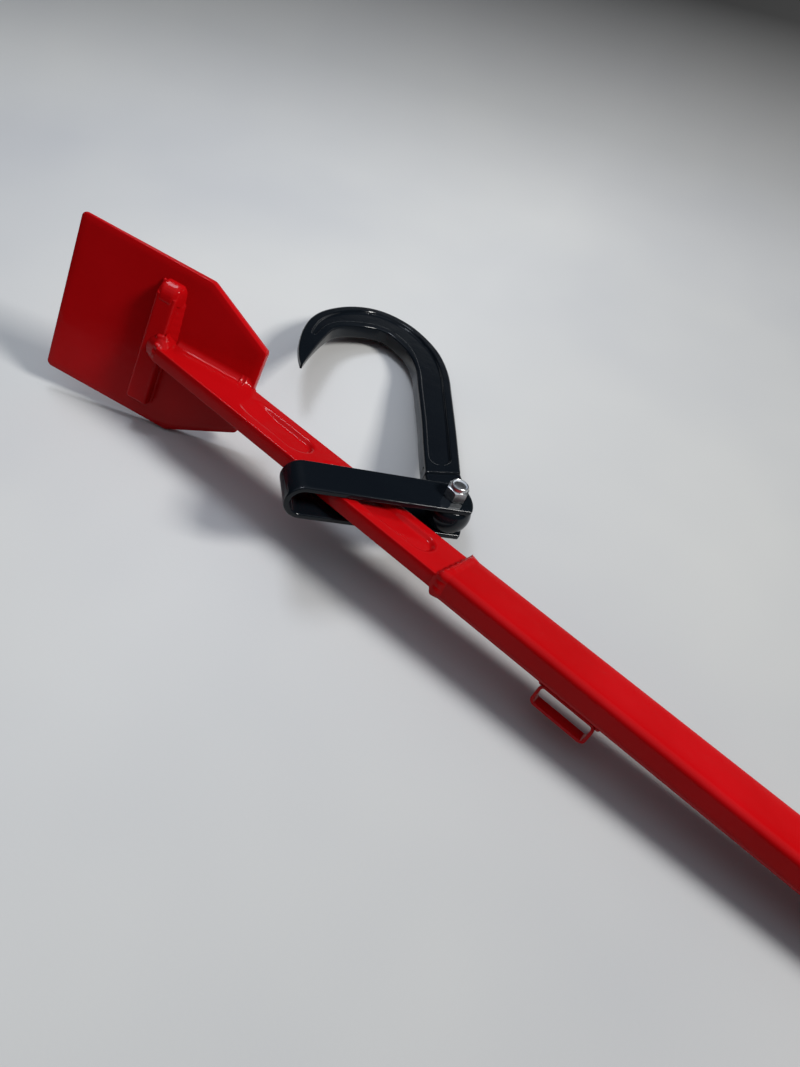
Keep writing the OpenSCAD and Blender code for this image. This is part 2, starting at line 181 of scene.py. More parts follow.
# Name, way from the middle of the tool, distance, size, power and tint.
LAMPS = (("key_lamp", Vector((-0.69, -0.228, 0.69)), 2.6, 0.58, 65.0, (1.0, 0.985, 0.96)),
         ("fill_lamp", Vector((0.46, -0.2, 0.865)), 1.2, 0.3, 5.0, (0.85, 0.90, 1.0)))
middle = LIE @ Vector((120.0, -40.0, 0.0))
for name, way, distance, size, power, tint in LAMPS:
    lamp = bpy.data.lights.new(name, "AREA")
    lamp.shape = "RECTANGLE"
    lamp.size = size
    lamp.size_y = size
    lamp.energy = power
    lamp.color = tint
    stand = bpy.data.objects.new(name, lamp)
    bpy.context.scene.collection.objects.link(stand)
    stand.location = middle + way * distance
    stand.rotation_mode = "QUATERNION"
    stand.rotation_quaternion = (middle - stand.location).to_track_quat("-Z", "Y")

world = bpy.data.worlds.new("soft_room")
bpy.context.scene.world = world
world.use_nodes = True
room = world.node_tree
looking = add_node(room, "ShaderNodeTexCoord", {})["Generated"]
upwards = add_node(room, "ShaderNodeSeparateXYZ", {"Vector": looking})["Z"]
feed(room, room.nodes["Background"], {
    "Color": (0.74, 0.80, 0.90, 1),
    "Strength": span(room, upwards, low=0.5, high=1.0, to_low=0.02, to_high=0.85)})
bpy.context.scene.view_settings.view_transform = "Standard"


# Paint
# Red and black stoving enamel, sprayed on thick: it levels into a faint orange
# peel, runs thin over sharp edges and carries a little dust and a few scuffs.
# The pale colour along sharp edges is partly those scuffs and partly a
# painted highlight.
def group_ends(group, inputs, outputs):
    """Makes a group's named inputs and outputs; gives back the input sockets and the output node."""
    for name, kind, value in inputs:
        socket = group.interface.new_socket(name, in_out="INPUT", socket_type="NodeSocket" + kind)
        if value is not None:
            socket.default_value = value
    for name, kind in outputs:
        group.interface.new_socket(name, in_out="OUTPUT", socket_type="NodeSocket" + kind)
    return group.nodes.new("NodeGroupInput").outputs, group.nodes.new("NodeGroupOutput")


def worked_out(tree, operation, first, second):
    return add_node(tree, "ShaderNodeMath", {0: first, 1: second}, operation=operation)["Value"]


def enamel_group():
    tree = bpy.data.node_groups.new("sprayed_enamel", "ShaderNodeTree")
    given, out = group_ends(
        tree,
        (("Paint", "Color", (0.5, 0.02, 0.02, 1)), ("Deep Paint", "Color", (0.3, 0.01, 0.01, 1)),
         ("Wear Sheen", "Color", (0.5, 0.2, 0.2, 1)), ("Wear Sheen Amount", "Float", 0.5),
         ("Gloss Roughness", "Float", 0.2), ("Peel", "Float", 0.2), ("Sag", "Float", 0.3)),
        (("Color", "Color"), ("Roughness", "Float"), ("Normal", "Vector")))
    place = place_on_piece(tree)
    cloud = span(tree, noise(tree, place, scale=14.0, detail=4.0), low=0.3, high=0.7)
    patch = span(tree, noise(tree, place, scale=60.0, detail=5.0, rough=0.65), low=0.48, high=0.56)
    grit = noise(tree, place, scale=950.0, detail=3.0, rough=0.7)
    dust = span(tree, grit, low=0.56, high=0.78, to_high=0.16)
    # Pale patches along sharp edges: partly wear, partly a painted highlight.
    rim = span(tree, add_node(tree, "ShaderNodeNewGeometry", {})["Pointiness"], low=0.61, high=0.70)
    wear_and_edge_sheen = worked_out(tree, "MULTIPLY", worked_out(tree, "MULTIPLY", rim, patch), given["Wear Sheen Amount"])
    film = mixed(tree, cloud, given["Deep Paint"], given["Paint"])
    peel = bump(tree, noise(tree, place, scale=520.0), given["Peel"], distance=0.00012)
    sag = add_node(tree, "ShaderNodeBump", {"Height": noise(tree, place, scale=48.0), "Normal": peel,
                                            "Strength": given["Sag"], "Distance": 0.0012})["Normal"]
    feed(tree, out, {"Color": mixed(tree, wear_and_edge_sheen, film, given["Wear Sheen"]), "Normal": sag,
                     "Roughness": worked_out(tree, "ADD", given["Gloss Roughness"], dust)})
    return tree


enamel = enamel_group()


def enamel_finish(name, look, shine):
    material, tree, shader = new_finish(name)
    coat = add_node(tree, "ShaderNodeGroup", look, node_tree=enamel)
    feed(tree, shader, {"Base Color": coat["Color"], "Roughness": coat["Roughness"],
                        "Normal": coat["Normal"], "Specular IOR Level": shine})
    return material


# The pale scuff colours on the edges are partly wear and partly a painted highlight.
red_enamel = enamel_finish("red_enamel", {
    "Paint": (0.43, 0.003, 0.005, 1), "Deep Paint": (0.375, 0.002, 0.003, 1), "Wear Sheen": (0.62, 0.30, 0.27, 1),
    "Wear Sheen Amount": 0.8, "Gloss Roughness": 0.12, "Peel": 0.18, "Sag": 0.20}, shine=0.10)
black_enamel = enamel_finish("black_enamel", {
    "Paint": (0.0045, 0.0065, 0.0090, 1), "Deep Paint": (0.0035, 0.0050, 0.0075, 1),
    "Wear Sheen": (0.42, 0.42, 0.42, 1), "Wear Sheen Amount": 0.8, "Gloss Roughness": 0.11, "Peel": 0.18,
    "Sag": 0.26}, shine=0.22)

# The finish, slot and body of all that is welded to the handle.
red_steel = (red_enamel, "red_paint", "lever")


# Shaft tube
# The handle: cold-formed rectangular steel tube, 50 by 25 by 2, with round
# corners. Saw-cut at both ends, it is closed by the joint weld at the front.
TUBE = {"back": -850.0, "front": -0.01, "half_w": 25.0, "half_t": 12.5, "wall": 2.0, "corner": 6.0,
        "burr": 0.4, "steps": 42}


def make_piece(name, verts, faces, finish, slot, body, solid, sharp=32.0, place=None):
    """One closed mesh in the tool's directions, laid down, finished and fixed to its body."""
    mesh = bpy.data.meshes.new(name)
    lay = LIE @ place if place else LIE
    mesh.from_pydata([lay @ Vector(v) for v in verts], [], faces)
    dress_piece(mesh, name, finish, slot, body, solid, sharp)


def dress_piece(mesh, name, finish, slot, body, solid, sharp):
    """Closes the mesh's seams, gives it its finish and puts it in the place of its solid."""
    mesh.validate()
    bm = bmesh.new()
    bm.from_mesh(mesh)
    bmesh.ops.remove_doubles(bm, verts=bm.verts, dist=1e-6)
    bmesh.ops.recalc_face_normals(bm, faces=bm.faces)
    bm.to_mesh(mesh)
    bm.free()
    mesh.polygons.foreach_set("use_smooth", [True] * len(mesh.polygons))
    mesh.set_sharp_from_angle(angle=math.radians(sharp))
    mesh.materials.clear()
    mesh.materials.append(finish)
    piece = bpy.data.objects.new(name, mesh)
    bpy.context.scene.collection.objects.link(piece)
    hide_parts(solid)
    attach(piece, body)


def skin(rings, closed_path=False):
    """Faces between rings of equal length; open ends are closed by a fan to their middle."""
    verts = [v for ring in rings for v in ring]
    n, faces = len(rings[0]), []
    for i in range(len(rings) if closed_path else len(rings) - 1):
        j = (i + 1) % len(rings)
        for k in range(n):
            m = (k + 1) % n
            faces.append((i * n + k, i * n + m, j * n + m, j * n + k))
    if not closed_path:
        for start in (0, (len(rings) - 1) * n):
            ring = verts[start:start + n]
            verts.append(tuple(sum(p[axis] for p in ring) / n for axis in range(3)))
            faces += [(start + k, start + (k + 1) % n, len(verts) - 1) for k in range(n)]
    return verts, faces


def round_rectangle(half_w, half_t, r, steps=8, straight=6):
    """Points of a rectangle with round corners, as (across the tall side, across the narrow)."""
    points = []
    for sw, st, start in ((1, 1, 0), (-1, 1, 90), (-1, -1, 180), (1, -1, 270)):
        for k in range(steps + 1):
            a = math.radians(start + 90.0 * k / steps)
            points.append((sw * (half_w - r) + r * math.cos(a), st * (half_t - r) + r * math.sin(a)))
    full = []
    for i, p in enumerate(points):
        q = points[(i + 1) % len(points)]
        full.append(p)
        if (i + 1) % (steps + 1) == 0:
            full += [(p[0] + (q[0] - p[0]) * k / straight, p[1] + (q[1] - p[1]) * k / straight)
                     for k in range(1, straight)]
    return full


def tube_ring(x, inset):
    """The tube's outline at x, set in by inset."""
    outline = round_rectangle(TUBE["half_w"] - inset, TUBE["half_t"] - inset, TUBE["corner"] - inset)
    return [(x, a, b) for a, b in outline]


def tube_rings():
    back, front, wall = TUBE["back"], TUBE["front"], TUBE["wall"]
    outside = [(back, TUBE["burr"]), (back + TUBE["burr"], 0.0)]
    outside += [(back * (1 - k / TUBE["steps"]), 0.0) for k in range(1, TUBE["steps"])]
    outside += [(front, 0.0)]
    inside = [(front, wall), (back / 2, wall), (back, wall)]
    return [tube_ring(x, inset) for x, inset in outside + inside]


make_piece("shaft_tube_steel", *skin(tube_rings(), closed_path=True), *red_steel, "shaft_tube")


# Front bar
# Drop-forged steel bar, 50 by 14, with a drafted pocket sunk in each side to
# save weight. Its tang is in the tube and its front end is cut to the blade.
BAR = {"half_w": 25.0, "half_t": 7.0, "edge": 1.4, "end": 346.0, "pocket_half": 15.0, "draft": 4.2,
       "depth": 4.0, "steps": 240, "steps_across": 52}

# Each pocket's start and stop, and the stretch over which it runs out.
BAR_POCKETS = ((26.0, 148.0, 0.0), (162.0, 245.0, 34.0))

# The blade starts at tail_x under the bar, leans by pitch, and the heel stands
# heel_p along it. ON_BLADE is along the blade, up from it and across it.
SEAT = {"tail_x": 256.0, "pitch": 19.0, "heel_p": 86.0}
ON_BLADE = (Matrix.Translation((SEAT["tail_x"], -BAR["half_w"], 0))
            @ Matrix.Rotation(math.radians(SEAT["pitch"]), 4, "Z"))


def ease(x):
    x = min(max(x, 0.0), 1.0)
    return x * x * (3 - 2 * x)


def forged_ring(half_w, half_t, edge, sink, count):
    """One section of a forging as (across, up) points; sink(across) is the pocket's depth there."""
    flat = half_w - edge
    top = [(-flat + 2 * flat * k / count, half_t) for k in range(count + 1)]
    top = [(a, t - sink(a)) for a, t in top]
    arc = [(math.sin(math.radians(18 * k)), math.cos(math.radians(18 * k))) for k in range(1, 5)]
    right_side = [(flat + edge * s, half_t - edge + edge * c) for s, c in arc]
    right_side += [(half_w, half_t - edge), (half_w, 0.0)]
    upper = [(-a, t) for a, t in reversed(right_side)] + top + right_side
    return upper + [(a, -t) for a, t in reversed(upper[1:-1])]


def bar_sink(x):
    def sink(a):
        q, deep = BAR["pocket_half"], 0.0
        for start, stop, run_out in BAR_POCKETS:
            along = min(x - start, stop - x)
            inside = q - abs(a) if along > q else q - math.hypot(a, q - along)
            fades = ease((stop - x) / run_out) if run_out else 1.0
            deep = max(deep, BAR["depth"] * ease(inside / BAR["draft"]) * fades)
        return deep
    return sink


bar_rings = []
for k in range(BAR["steps"] + 1):
    x = BAR["end"] * k / BAR["steps"]
    ring = forged_ring(BAR["half_w"], BAR["half_t"], BAR["edge"], bar_sink(x), BAR["steps_across"])
    bar_rings.append([(x, a, t) for a, t in ring])
verts, faces = skin(bar_rings)
bar_mesh = bpy.data.meshes.new("front_bar_forging")
bar_mesh.from_pydata(verts, [], faces)
bm = bmesh.new()
bm.from_mesh(bar_mesh)
bmesh.ops.recalc_face_normals(bm, faces=bm.faces)
for point, outwards in (((0, 0, 0), (0, -1, 0)), ((SEAT["heel_p"], 0, 0), (1, 0, 0))):
    cut = bmesh.ops.bisect_plane(bm, geom=bm.verts[:] + bm.edges[:] + bm.faces[:], dist=1e-5,
                                 plane_co=ON_BLADE @ Vector(point),
                                 plane_no=ON_BLADE.to_3x3() @ Vector(outwards), clear_outer=True)
    rim = [e for e in cut["geom_cut"] if isinstance(e, bmesh.types.BMEdge)]
    bmesh.ops.contextual_create(bm, geom=rim)
bm.to_mesh(bar_mesh)
bm.free()
bar_mesh.transform(LIE)
dress_piece(bar_mesh, "front_bar_forging", *red_steel, "front_bar", 40.0)


# Blade
# Flame-cut steel plate with six corners, ground to a wedge: ten millimetres at
# the tail, four at the front edge, with its sharp edges broken all round.
BLADE = {"half_w": 76.0, "half_tail": 42.0, "length": 194.0, "taper": 65.0, "tail_t": 10.0, "front_t": 4.0,
         "corner": 5.0, "shoulder": 10.0, "least_corner": 0.7, "corner_steps": 10, "side_steps": 12}

# The broken edge, as pairs of how far in and how far down.
BLADE_EDGE = [(7.5, 0.0), (6.0, 0.0), (1.2, 0.4), (0.5, 0.6), (0.15, 0.95), (0.0, 1.5)]


def round_corner(a, b, c, r, steps):
    p, q = (a - b).normalized(), (c - b).normalized()
    half = p.angle(q) / 2
    centre = b + (p + q).normalized() * r / math.sin(half)
    s, e = b + p * r / math.tan(half) - centre, b + q * r / math.tan(half) - centre
    return [centre + s.lerp(e, k / steps).normalized() * r for k in range(steps + 1)]


def blade_ring(inset, height):
    """The outline set in by inset; height gives the level at a distance p from the tail."""
    w, tail, length, taper = BLADE["half_w"], BLADE["half_tail"], BLADE["length"], BLADE["taper"]
    c = [Vector(p) for p in ((0, -tail), (taper, -w), (length, -w), (length, w), (taper, w), (0, tail))]
    radii = [BLADE["corner"], BLADE["shoulder"], BLADE["corner"]] * 2
    inner = []
    for i in range(6):
        p, q = (c[i - 1] - c[i]).normalized(), (c[(i + 1) % 6] - c[i]).normalized()
        inner.append(c[i] + (p + q).normalized() * inset / math.sin(p.angle(q) / 2))
    points = []
    for i in range(6):
        radius = max(radii[i] - inset, BLADE["least_corner"])
        points += round_corner(inner[i - 1], inner[i], inner[(i + 1) % 6], radius, BLADE["corner_steps"])
    dense = []
    for i, p in enumerate(points):
        q = points[(i + 1) % len(points)]
        at_side = i % (BLADE["corner_steps"] + 1) == BLADE["corner_steps"]
        steps = BLADE["side_steps"] if at_side else 1
        dense += [p.lerp(q, k / steps) for k in range(steps)]
    return [(p.x, height(p.x), p.y) for p in dense]


def blade_under(p):
    return -BLADE["tail_t"] + (BLADE["tail_t"] - BLADE["front_t"]) * p / BLADE["length"]


blade_rings = [blade_ring(i, lambda p, d=d: -d) for i, d in BLADE_EDGE]
blade_rings += [blade_ring(i, lambda p, d=d: blade_under(p) + d) for i, d in reversed(BLADE_EDGE)]
make_piece("blade_steel", *skin(blade_rings), *red_steel, "blade_plate", 40.0, ON_BLADE)


# Heel bar
# Flat steel laid across the blade as the point the lever rocks on. Its two top
# edges are rounded, one end is saw-cut and the other is dressed off round.
HEEL = {"w": 20.0, "h": 12.5, "half_l": 56.5, "edge": 3.0, "cut": 1.6, "dressed_l": 8.0, "dressed_h": 6.0,
        "steps": 40}


def heel_rings():
    l, w, h, r = HEEL["half_l"], HEEL["w"] / 2, HEEL["h"], HEEL["edge"]
    start, straight = -l + HEEL["cut"], 2 * l - HEEL["cut"] - HEEL["dressed_l"]
    stations = [(-l, HEEL["cut"]), (-l + 0.5, HEEL["cut"] / 2), (start, 0.0)]
    stations += [(start + straight * k / HEEL["steps"], 0.0) for k in range(1, HEEL["steps"] + 1)]
    for k in range(1, 11):
        drawn = math.cos(math.radians(9 * k))
        stations.append((l - HEEL["dressed_l"] * drawn, HEEL["dressed_h"] * (1 - drawn)))
    rings = []
    for z, d in stations:
        ring = [(-w, 0.0), (-w, (h - r) / 2)]
        for s, turn in ((-1, 180), (1, 90)):
            for k in range(9):
                a = math.radians(turn - 90 * k / 8)
                ring.append((s * (w - r) + r * math.cos(a), h - d - r + r * math.sin(a)))
            if s < 0:
                ring += [((w - r) * f, h - d) for f in (-0.6, -0.2, 0.2, 0.6)]
        ring += [(w, (h - r) / 2), (w, 0.0)]
        rings.append([(SEAT["heel_p"] + w + a, b, z) for a, b in ring])
    return rings


make_piece("heel_bar_steel", *skin(heel_rings()), *red_steel, "heel_bar", 32.0, ON_BLADE)


# Weld beads
# Melted steel laid along each corner and painted over. Rows of drops follow the
# corner's line, over a fillet where the bead is broad, and are melted together.
def bead_tree():
    tree = bpy.data.node_groups.new("bead_of_drops", "GeometryNodeTree")
    tree.is_modifier = True
    given, out = group_ends(
        tree,
        (("Geometry", "Geometry", None), ("Drop Spacing", "Float", 2.6), ("Drop Length", "Float", 3.4),
         ("Drop Width", "Float", 4.0), ("Unevenness", "Float", 0.12), ("Seed", "Int", 1),
         ("Finish", "Material", None)),
        (("Geometry", "Geometry"),))
    line = add_node(tree, "GeometryNodeMeshToCurve", {"Mesh": given["Geometry"]})["Curve"]
    even = add_node(tree, "GeometryNodeResampleCurve", {"Curve": line, "Length": given["Drop Spacing"]},
                    mode="LENGTH")["Curve"]
    points = add_node(tree, "GeometryNodeCurveToPoints", {"Curve": even}, mode="EVALUATED")
    drop = add_node(tree, "GeometryNodeMeshUVSphere", {"Segments": 18, "Rings": 12, "Radius": 1.0})["Mesh"]
    shape = add_node(tree, "ShaderNodeCombineXYZ", {"X": given["Drop Width"], "Y": given["Drop Width"],
                                                    "Z": given["Drop Length"]})["Vector"]
    least = worked_out(tree, "SUBTRACT", 1.0, given["Unevenness"])
    most = worked_out(tree, "ADD", 1.0, given["Unevenness"])
    chance = add_node(tree, "FunctionNodeRandomValue", {2: least, 3: most, "Seed": given["Seed"]},
                      data_type="FLOAT")[1]
    size = add_node(tree, "ShaderNodeVectorMath", {0: shape, "Scale": chance}, operation="SCALE")["Vector"]
    drops = add_node(tree, "GeometryNodeInstanceOnPoints", {
        "Points": points["Points"], "Rotation": points["Rotation"], "Instance": drop, "Scale": size})
    real = add_node(tree, "GeometryNodeRealizeInstances", {"Geometry": drops["Instances"]})["Geometry"]
    painted = add_node(tree, "GeometryNodeSetMaterial", {"Geometry": real, "Material": given["Finish"]})
    feed(tree, out, {"Geometry": painted["Geometry"]})
    return tree


bead_of_drops = bead_tree()


def plain_mesh(o):
    """The object's mesh with its modifiers worked in; the object and its old mesh go."""
    base = o.data
    mesh = bpy.data.meshes.new_from_object(o.evaluated_get(bpy.context.evaluated_depsgraph_get()))
    bpy.data.objects.remove(o)
    bpy.data.meshes.remove(base)
    return mesh


def take_in(whole, mesh):
    whole.from_mesh(mesh)
    bpy.data.meshes.remove(mesh)


def row_of_drops(name, points, values):
    """Puts the tree of drops on a line, sets its inputs and gives back the plain mesh."""
    base = bpy.data.meshes.new(name)
    base.from_pydata(points, [(k, k + 1) for k in range(len(points) - 1)], [])
    o = bpy.data.objects.new(name, base)
    bpy.context.scene.collection.objects.link(o)
    lay_drops = o.modifiers.new("lay_drops", "NODES")
    lay_drops.node_group = bead_of_drops
    for item in bead_of_drops.interface.items_tree:
        if item.item_type == "SOCKET" and item.in_out == "INPUT" and item.name in values:
            lay_drops[item.identifier] = values[item.name]
    return plain_mesh(o)


def melt(mesh, name, voxel, rounds):
    """Joins overlapping drops into one skin and lets the surface settle."""
    o = bpy.data.objects.new(name, mesh)
    bpy.context.scene.collection.objects.link(o)
    join = o.modifiers.new("join", "REMESH")
    join.mode = "VOXEL"
    join.voxel_size = voxel
    settle = o.modifiers.new("settle", "SMOOTH")
    settle.factor = 0.6
    settle.iterations = rounds
    return plain_mesh(o)


def weld_bead(name, solid, lines, voxel, rounds, place=None, fillets=()):
    """lines: (points, drop width, drop length, spacing, unevenness, seed) in the tool's directions."""
    whole = bmesh.new()
    for rings in fillets:
        verts, faces = skin(rings)
        part = bpy.data.meshes.new(name)
        part.from_pydata(verts, [], faces)
        take_in(whole, part)
    bmesh.ops.recalc_face_normals(whole, faces=whole.faces)
    for points, width, length, spacing, uneven, seed in lines:
        take_in(whole, row_of_drops(name, points, {
            "Drop Spacing": spacing, "Drop Length": length, "Drop Width": width,
            "Unevenness": uneven, "Seed": seed, "Finish": red_enamel}))
    joined = bpy.data.meshes.new(name)
    whole.to_mesh(joined)
    whole.free()
    mesh = melt(joined, name, voxel, rounds)
    mesh.transform(LIE @ place if place else LIE)
    dress_piece(mesh, name, *red_steel, solid, 60.0)


FILLET = {"spacing": 0.9, "sunk": 0.4, "end_size": 0.25, "end_l": 5.0}


def fillet_rings(a, b, up, out, up_leg, out_leg, ripple, hollow, lumps=()):
    """A fillet from a to b in the corner of the faces along up and out; lumps: (place, height, width)."""
    a, b, up, out = Vector(a), Vector(b), Vector(up), Vector(out)
    length = (b - a).length
    n, rings, sunk = int(length / FILLET["spacing"]), [], FILLET["sunk"]
    for k in range(n + 1):
        s, at = length * k / n, a.lerp(b, k / n)
        f = FILLET["end_size"] + (1 - FILLET["end_size"]) * ease(min(s, length - s) / FILLET["end_l"])
        f *= 1 + ripple * (math.sin(0.9 * s) + 0.6 * math.sin(2.3 * s))
        lump = sum(h * math.exp(-((s - c) / w) ** 2) for c, h, w in lumps)
        ring = [at - up * sunk - out * sunk, at - up * sunk + out * out_leg * f]
        for j in range(13):
            t = math.radians(7.5 * j)
            push = lump * math.sin(2 * t)
            curve_u, curve_o = 1 - math.cos(t), 1 - math.sin(t)
            flat_u, flat_o = j / 12, 1 - j / 12
            ring.append(at + up * (up_leg * f * (flat_u + hollow * (curve_u - flat_u)) + push * math.cos(t))
                        + out * (out_leg * f * (flat_o + hollow * (curve_o - flat_o)) + push * math.sin(t)))
        ring.append(at + up * up_leg * f - out * sunk)
        rings.append([tuple(v) for v in ring])
    return rings


# The bead round the foot of the heel bar: a broad fillet on one half of its tail
# side, a cap over that end of the bar, and one row of drops elsewhere.
# p0 and p1 are the heel's tail side and front side, hl is its half length.
p0, p1, hl = SEAT["heel_p"], SEAT["heel_p"] + HEEL["w"], HEEL["half_l"]

# The cap's sections: place past the bar's end, height, and how far it is drawn in.
HEEL_CAP = ((-14, 12.3, 0), (-12.5, 12.8, 0), (-9, 12.9, 0), (-6, 12.6, 0), (-3, 11.6, 0.3),
            (-0.5, 10.2, 0.9), (1.2, 8.4, 1.8), (2.6, 6.4, 2.8), (3.7, 4.2, 3.9), (4.4, 1.5, 5.2))
cap_rings = []
for past, top, c in HEEL_CAP:
    section = ((p0 - 3.4 + c, -0.4), (p0 - 1.6 + 0.8 * c, 0.42 * top), (p0 + 1.0 + 0.6 * c, 0.86 * top),
               (p0 + 4.5, top), (p1 - 4.5, top), (p1 - 1.2 - 0.6 * c, 0.84 * top), (p1 + 0.6 - c, 0.4 * top),
               (p1 + 1.2 - c, -0.4))
    cap_rings.append([(p, h, hl + past) for p, h in section])
weld_bead("heel_bead", "heel_weld", [
    ([(p0, 0.2, -8), (p0, 0.2, -hl), (p1 + 0.4, 0.4, -hl - 0.2), (p1 + 0.4, 0.4, hl)],
     1.9, 2.4, 1.9, 0.06, 4),
], 0.55, 12, ON_BLADE, [
    cap_rings,
    fillet_rings((p0 + 3.0, 0, -2), (p0 + 6.4, 0, hl - 6), (0, 1, 0), (-1, 0, 0), 12.7, 10.8, 0.01, 0.0)])

# The two fillets between the bar's sides and the blade, smooth under the paint,
# with the last drops of each left standing at the blade's tail.
LAST_DROPS = ((7.0, 1.5, 1.2), (11.5, 1.4, 1.1))
for name, solid, s in (("bar_bead_right", "bar_weld_right", 1), ("bar_bead_left", "bar_weld_left", -1)):
    z = s * BAR["half_t"]
    rings = fillet_rings((0.8, 0, z), (p0 - 4, 0, z), (0, 1, 0), (0, 0, s), 7.5, 7.0, 0.0, 0.95, LAST_DROPS)
    make_piece(name, *skin(rings), *red_steel, solid, 50.0, ON_BLADE)

# The rounded knuckle that runs from the bar's cut end down over the heel bar.
# Its sections: place along the blade, top, near and far half width, and foot.
KNUCKLE = ((-10.5, 19.0, 5.0, 5.0, 3.0), (-9.5, 22.3, 7.4, 7.6, 3.0), (-7.5, 23.6, 9.8, 10.8, 3.0),
           (-5.0, 23.0, 11.6, 13.2, 4.0), (-2.0, 21.9, 12.7, 14.8, 5.0), (1.0, 20.5, 13.0, 15.0, 7.0),
           (4.0, 18.8, 12.6, 14.2, 9.0), (7.0, 16.9, 11.6, 12.8, 10.0), (10.0, 15.0, 10.0, 10.8, 10.8),
           (12.5, 13.5, 7.6, 8.2, 11.4), (14.5, 12.5, 4.2, 4.6, 11.8))
knuckle_rings = []
for past, top, near, far, foot in KNUCKLE:
    ring = [(p0 + past, foot, 0.0)]
    for k in range(25):
        t = math.radians(7.5 * k)
        half = far if k < 12 else near
        ring.append((p0 + past, foot + (top - foot) * math.sin(t) ** 0.8, half * math.cos(t)))
    knuckle_rings.append(ring)
weld_bead("nose_bead", "nose_weld", [
    ([(p0 - 3.6, 4.5, -7.6), (p0 - 3.0, 2.0, -10.0)], 3.0, 3.2, 2.6, 0.06, 27),
    ([(p0 - 3.5, 20.4, 5.0), (p0 + 2.0, 18.6, 6.4)], 2.6, 3.6, 2.2, 0.02, 28),
    ([(p0 - 0.5, 11.8, 12.6), (p0 + 4.5, 12.0, 12.0)], 3.4, 3.8, 2.4, 0.03, 30),
    ([(p0 - 0.5, 19.6, -1.5), (p0 + 2.5, 18.6, -1.0)], 2.6, 3.2, 2.2, 0.02, 29),
], 0.55, 9, ON_BLADE, [
    knuckle_rings,
    fillet_rings((p0 - 1, 2, 6.4), (p0 - 1, 17, 6.4), (0, 0, 1), (-1, 0, 0), 12.0, 11.0, 0.01, 0.8)])

# The corner behind the blade's tail edge, under the bar.
tail_x, under = SEAT["tail_x"] - 0.4, -BAR["half_w"] - 1.4
weld_bead("tail_bead", "tail_weld", [
    ([(tail_x, under, -4.6), (tail_x, under, 4.2)], 2.9, 3.0, 2.4, 0.08, 31)], 0.5, 6)


# Joint bead
# The weld all round the place where the bar leaves the tube. On the two wide
# sides it ripples down from the tube to the bar, on the edges it stands up a little.
JOINT = {"corner": 6.0, "tighter": 3.6, "slant": 1.4, "wander": 0.3, "wander_turn": 0.7, "swell": 0.3,
         "steps": 84,
         "ripple": 0.6, "ripple_at": 0.9, "ripple_l": 3.2, "ripple_turn": 1.1, "ripple_lean": 0.35,
         "ripple_half": 20.0, "ripple_mid": -2.0, "ripple_fade": 4.0,
         "knob": 2.4, "knob_at": 5.2, "knob_l": 1.2, "knob_w": 1.8}

# Sections along the shaft: place, rise over the tube's wide sides, rise over its edges.
JOINT_OUTSIDE = (
    (-5.0, -0.2, -0.2), (-4.0, 0.0, 0.1), (-2.8, 0.15, 0.35), (-1.6, 0.3, 0.6), (-0.4, 0.4, 0.85),
    (0.8, 0.4, 1.0), (2.0, 0.3, 1.1), (3.0, 0.0, 1.1), (3.8, -0.6, 1.05), (4.5, -1.5, 1.0),
    (5.1, -2.5, 0.9), (5.6, -3.5, 0.75), (6.1, -4.4, 0.6), (6.7, -5.1, 0.4), (7.4, -5.5, 0.2),
    (8.0, -5.65, 0.0), (8.6, -5.75, -0.25))

# Its way back inside the tube's end: place, half width, half thickness, corner.
JOINT_INSIDE = ((8.2, 24.6, 6.6, 2.0), (1.5, 24.6, 6.6, 2.0),
                (-1.8, 24.3, 11.8, 5.0), (-4.6, 24.3, 11.8, 5.0))


def joint_rings():
    rings = []
    half_w = TUBE["half_w"]
    for x, up, over in JOINT_OUTSIDE:
        corner = JOINT["corner"] - JOINT["tighter"] * ease((x + 1.0) / 8.0)
        lift = math.exp(-((x - JOINT["ripple_at"]) / JOINT["ripple_l"]) ** 2)
        knob_here = JOINT["knob"] * math.exp(-((x - JOINT["knob_at"]) / JOINT["knob_l"]) ** 2)
        ring = []
        for a, b in round_rectangle(half_w + over, TUBE["half_t"] + up, corner, 8, JOINT["steps"]):
            rippled = JOINT["ripple_half"] - abs(a - JOINT["ripple_mid"])
            wave = math.sin(JOINT["ripple_turn"] * a + JOINT["ripple_lean"] * x)
            wave *= JOINT["ripple"] * lift * ease(rippled / JOINT["ripple_fade"])
            knob = knob_here * math.exp(-((a + half_w) / JOINT["knob_w"]) ** 2) if b > 4 else 0.0
            swell = JOINT["swell"] * lift * math.sin(0.5 * b + 1.0) if abs(a) > 24 else 0.0
            wander = JOINT["wander"] * math.sin(JOINT["wander_turn"] * a)
            ring.append((x + JOINT["slant"] * a / half_w + wander,
                         a + math.copysign(swell, a) - knob, b + math.copysign(wave, b) + 0.6 * knob))
        rings.append(ring)
    for x, w, t, r in JOINT_INSIDE:
        rings.append([(x + JOINT["slant"] * a / half_w, a, b)
                      for a, b in round_rectangle(w, t, r, 8, JOINT["steps"])])
    return rings


make_piece("joint_bead", *skin(joint_rings(), closed_path=True), *red_steel, "joint_weld", 60.0)


# Hanger loop
# A slice of the smaller rectangular tube, welded by its long side to the
# handle, so that the lever can be hung up or clipped to a belt.
LOOP = {"front": -102.0, "l": 50.0, "h": 20.0, "wall": 2.5, "corner": 5.0, "least_corner": 0.8,
        "depth": 12.0, "top": 20.7, "burr": 0.45}


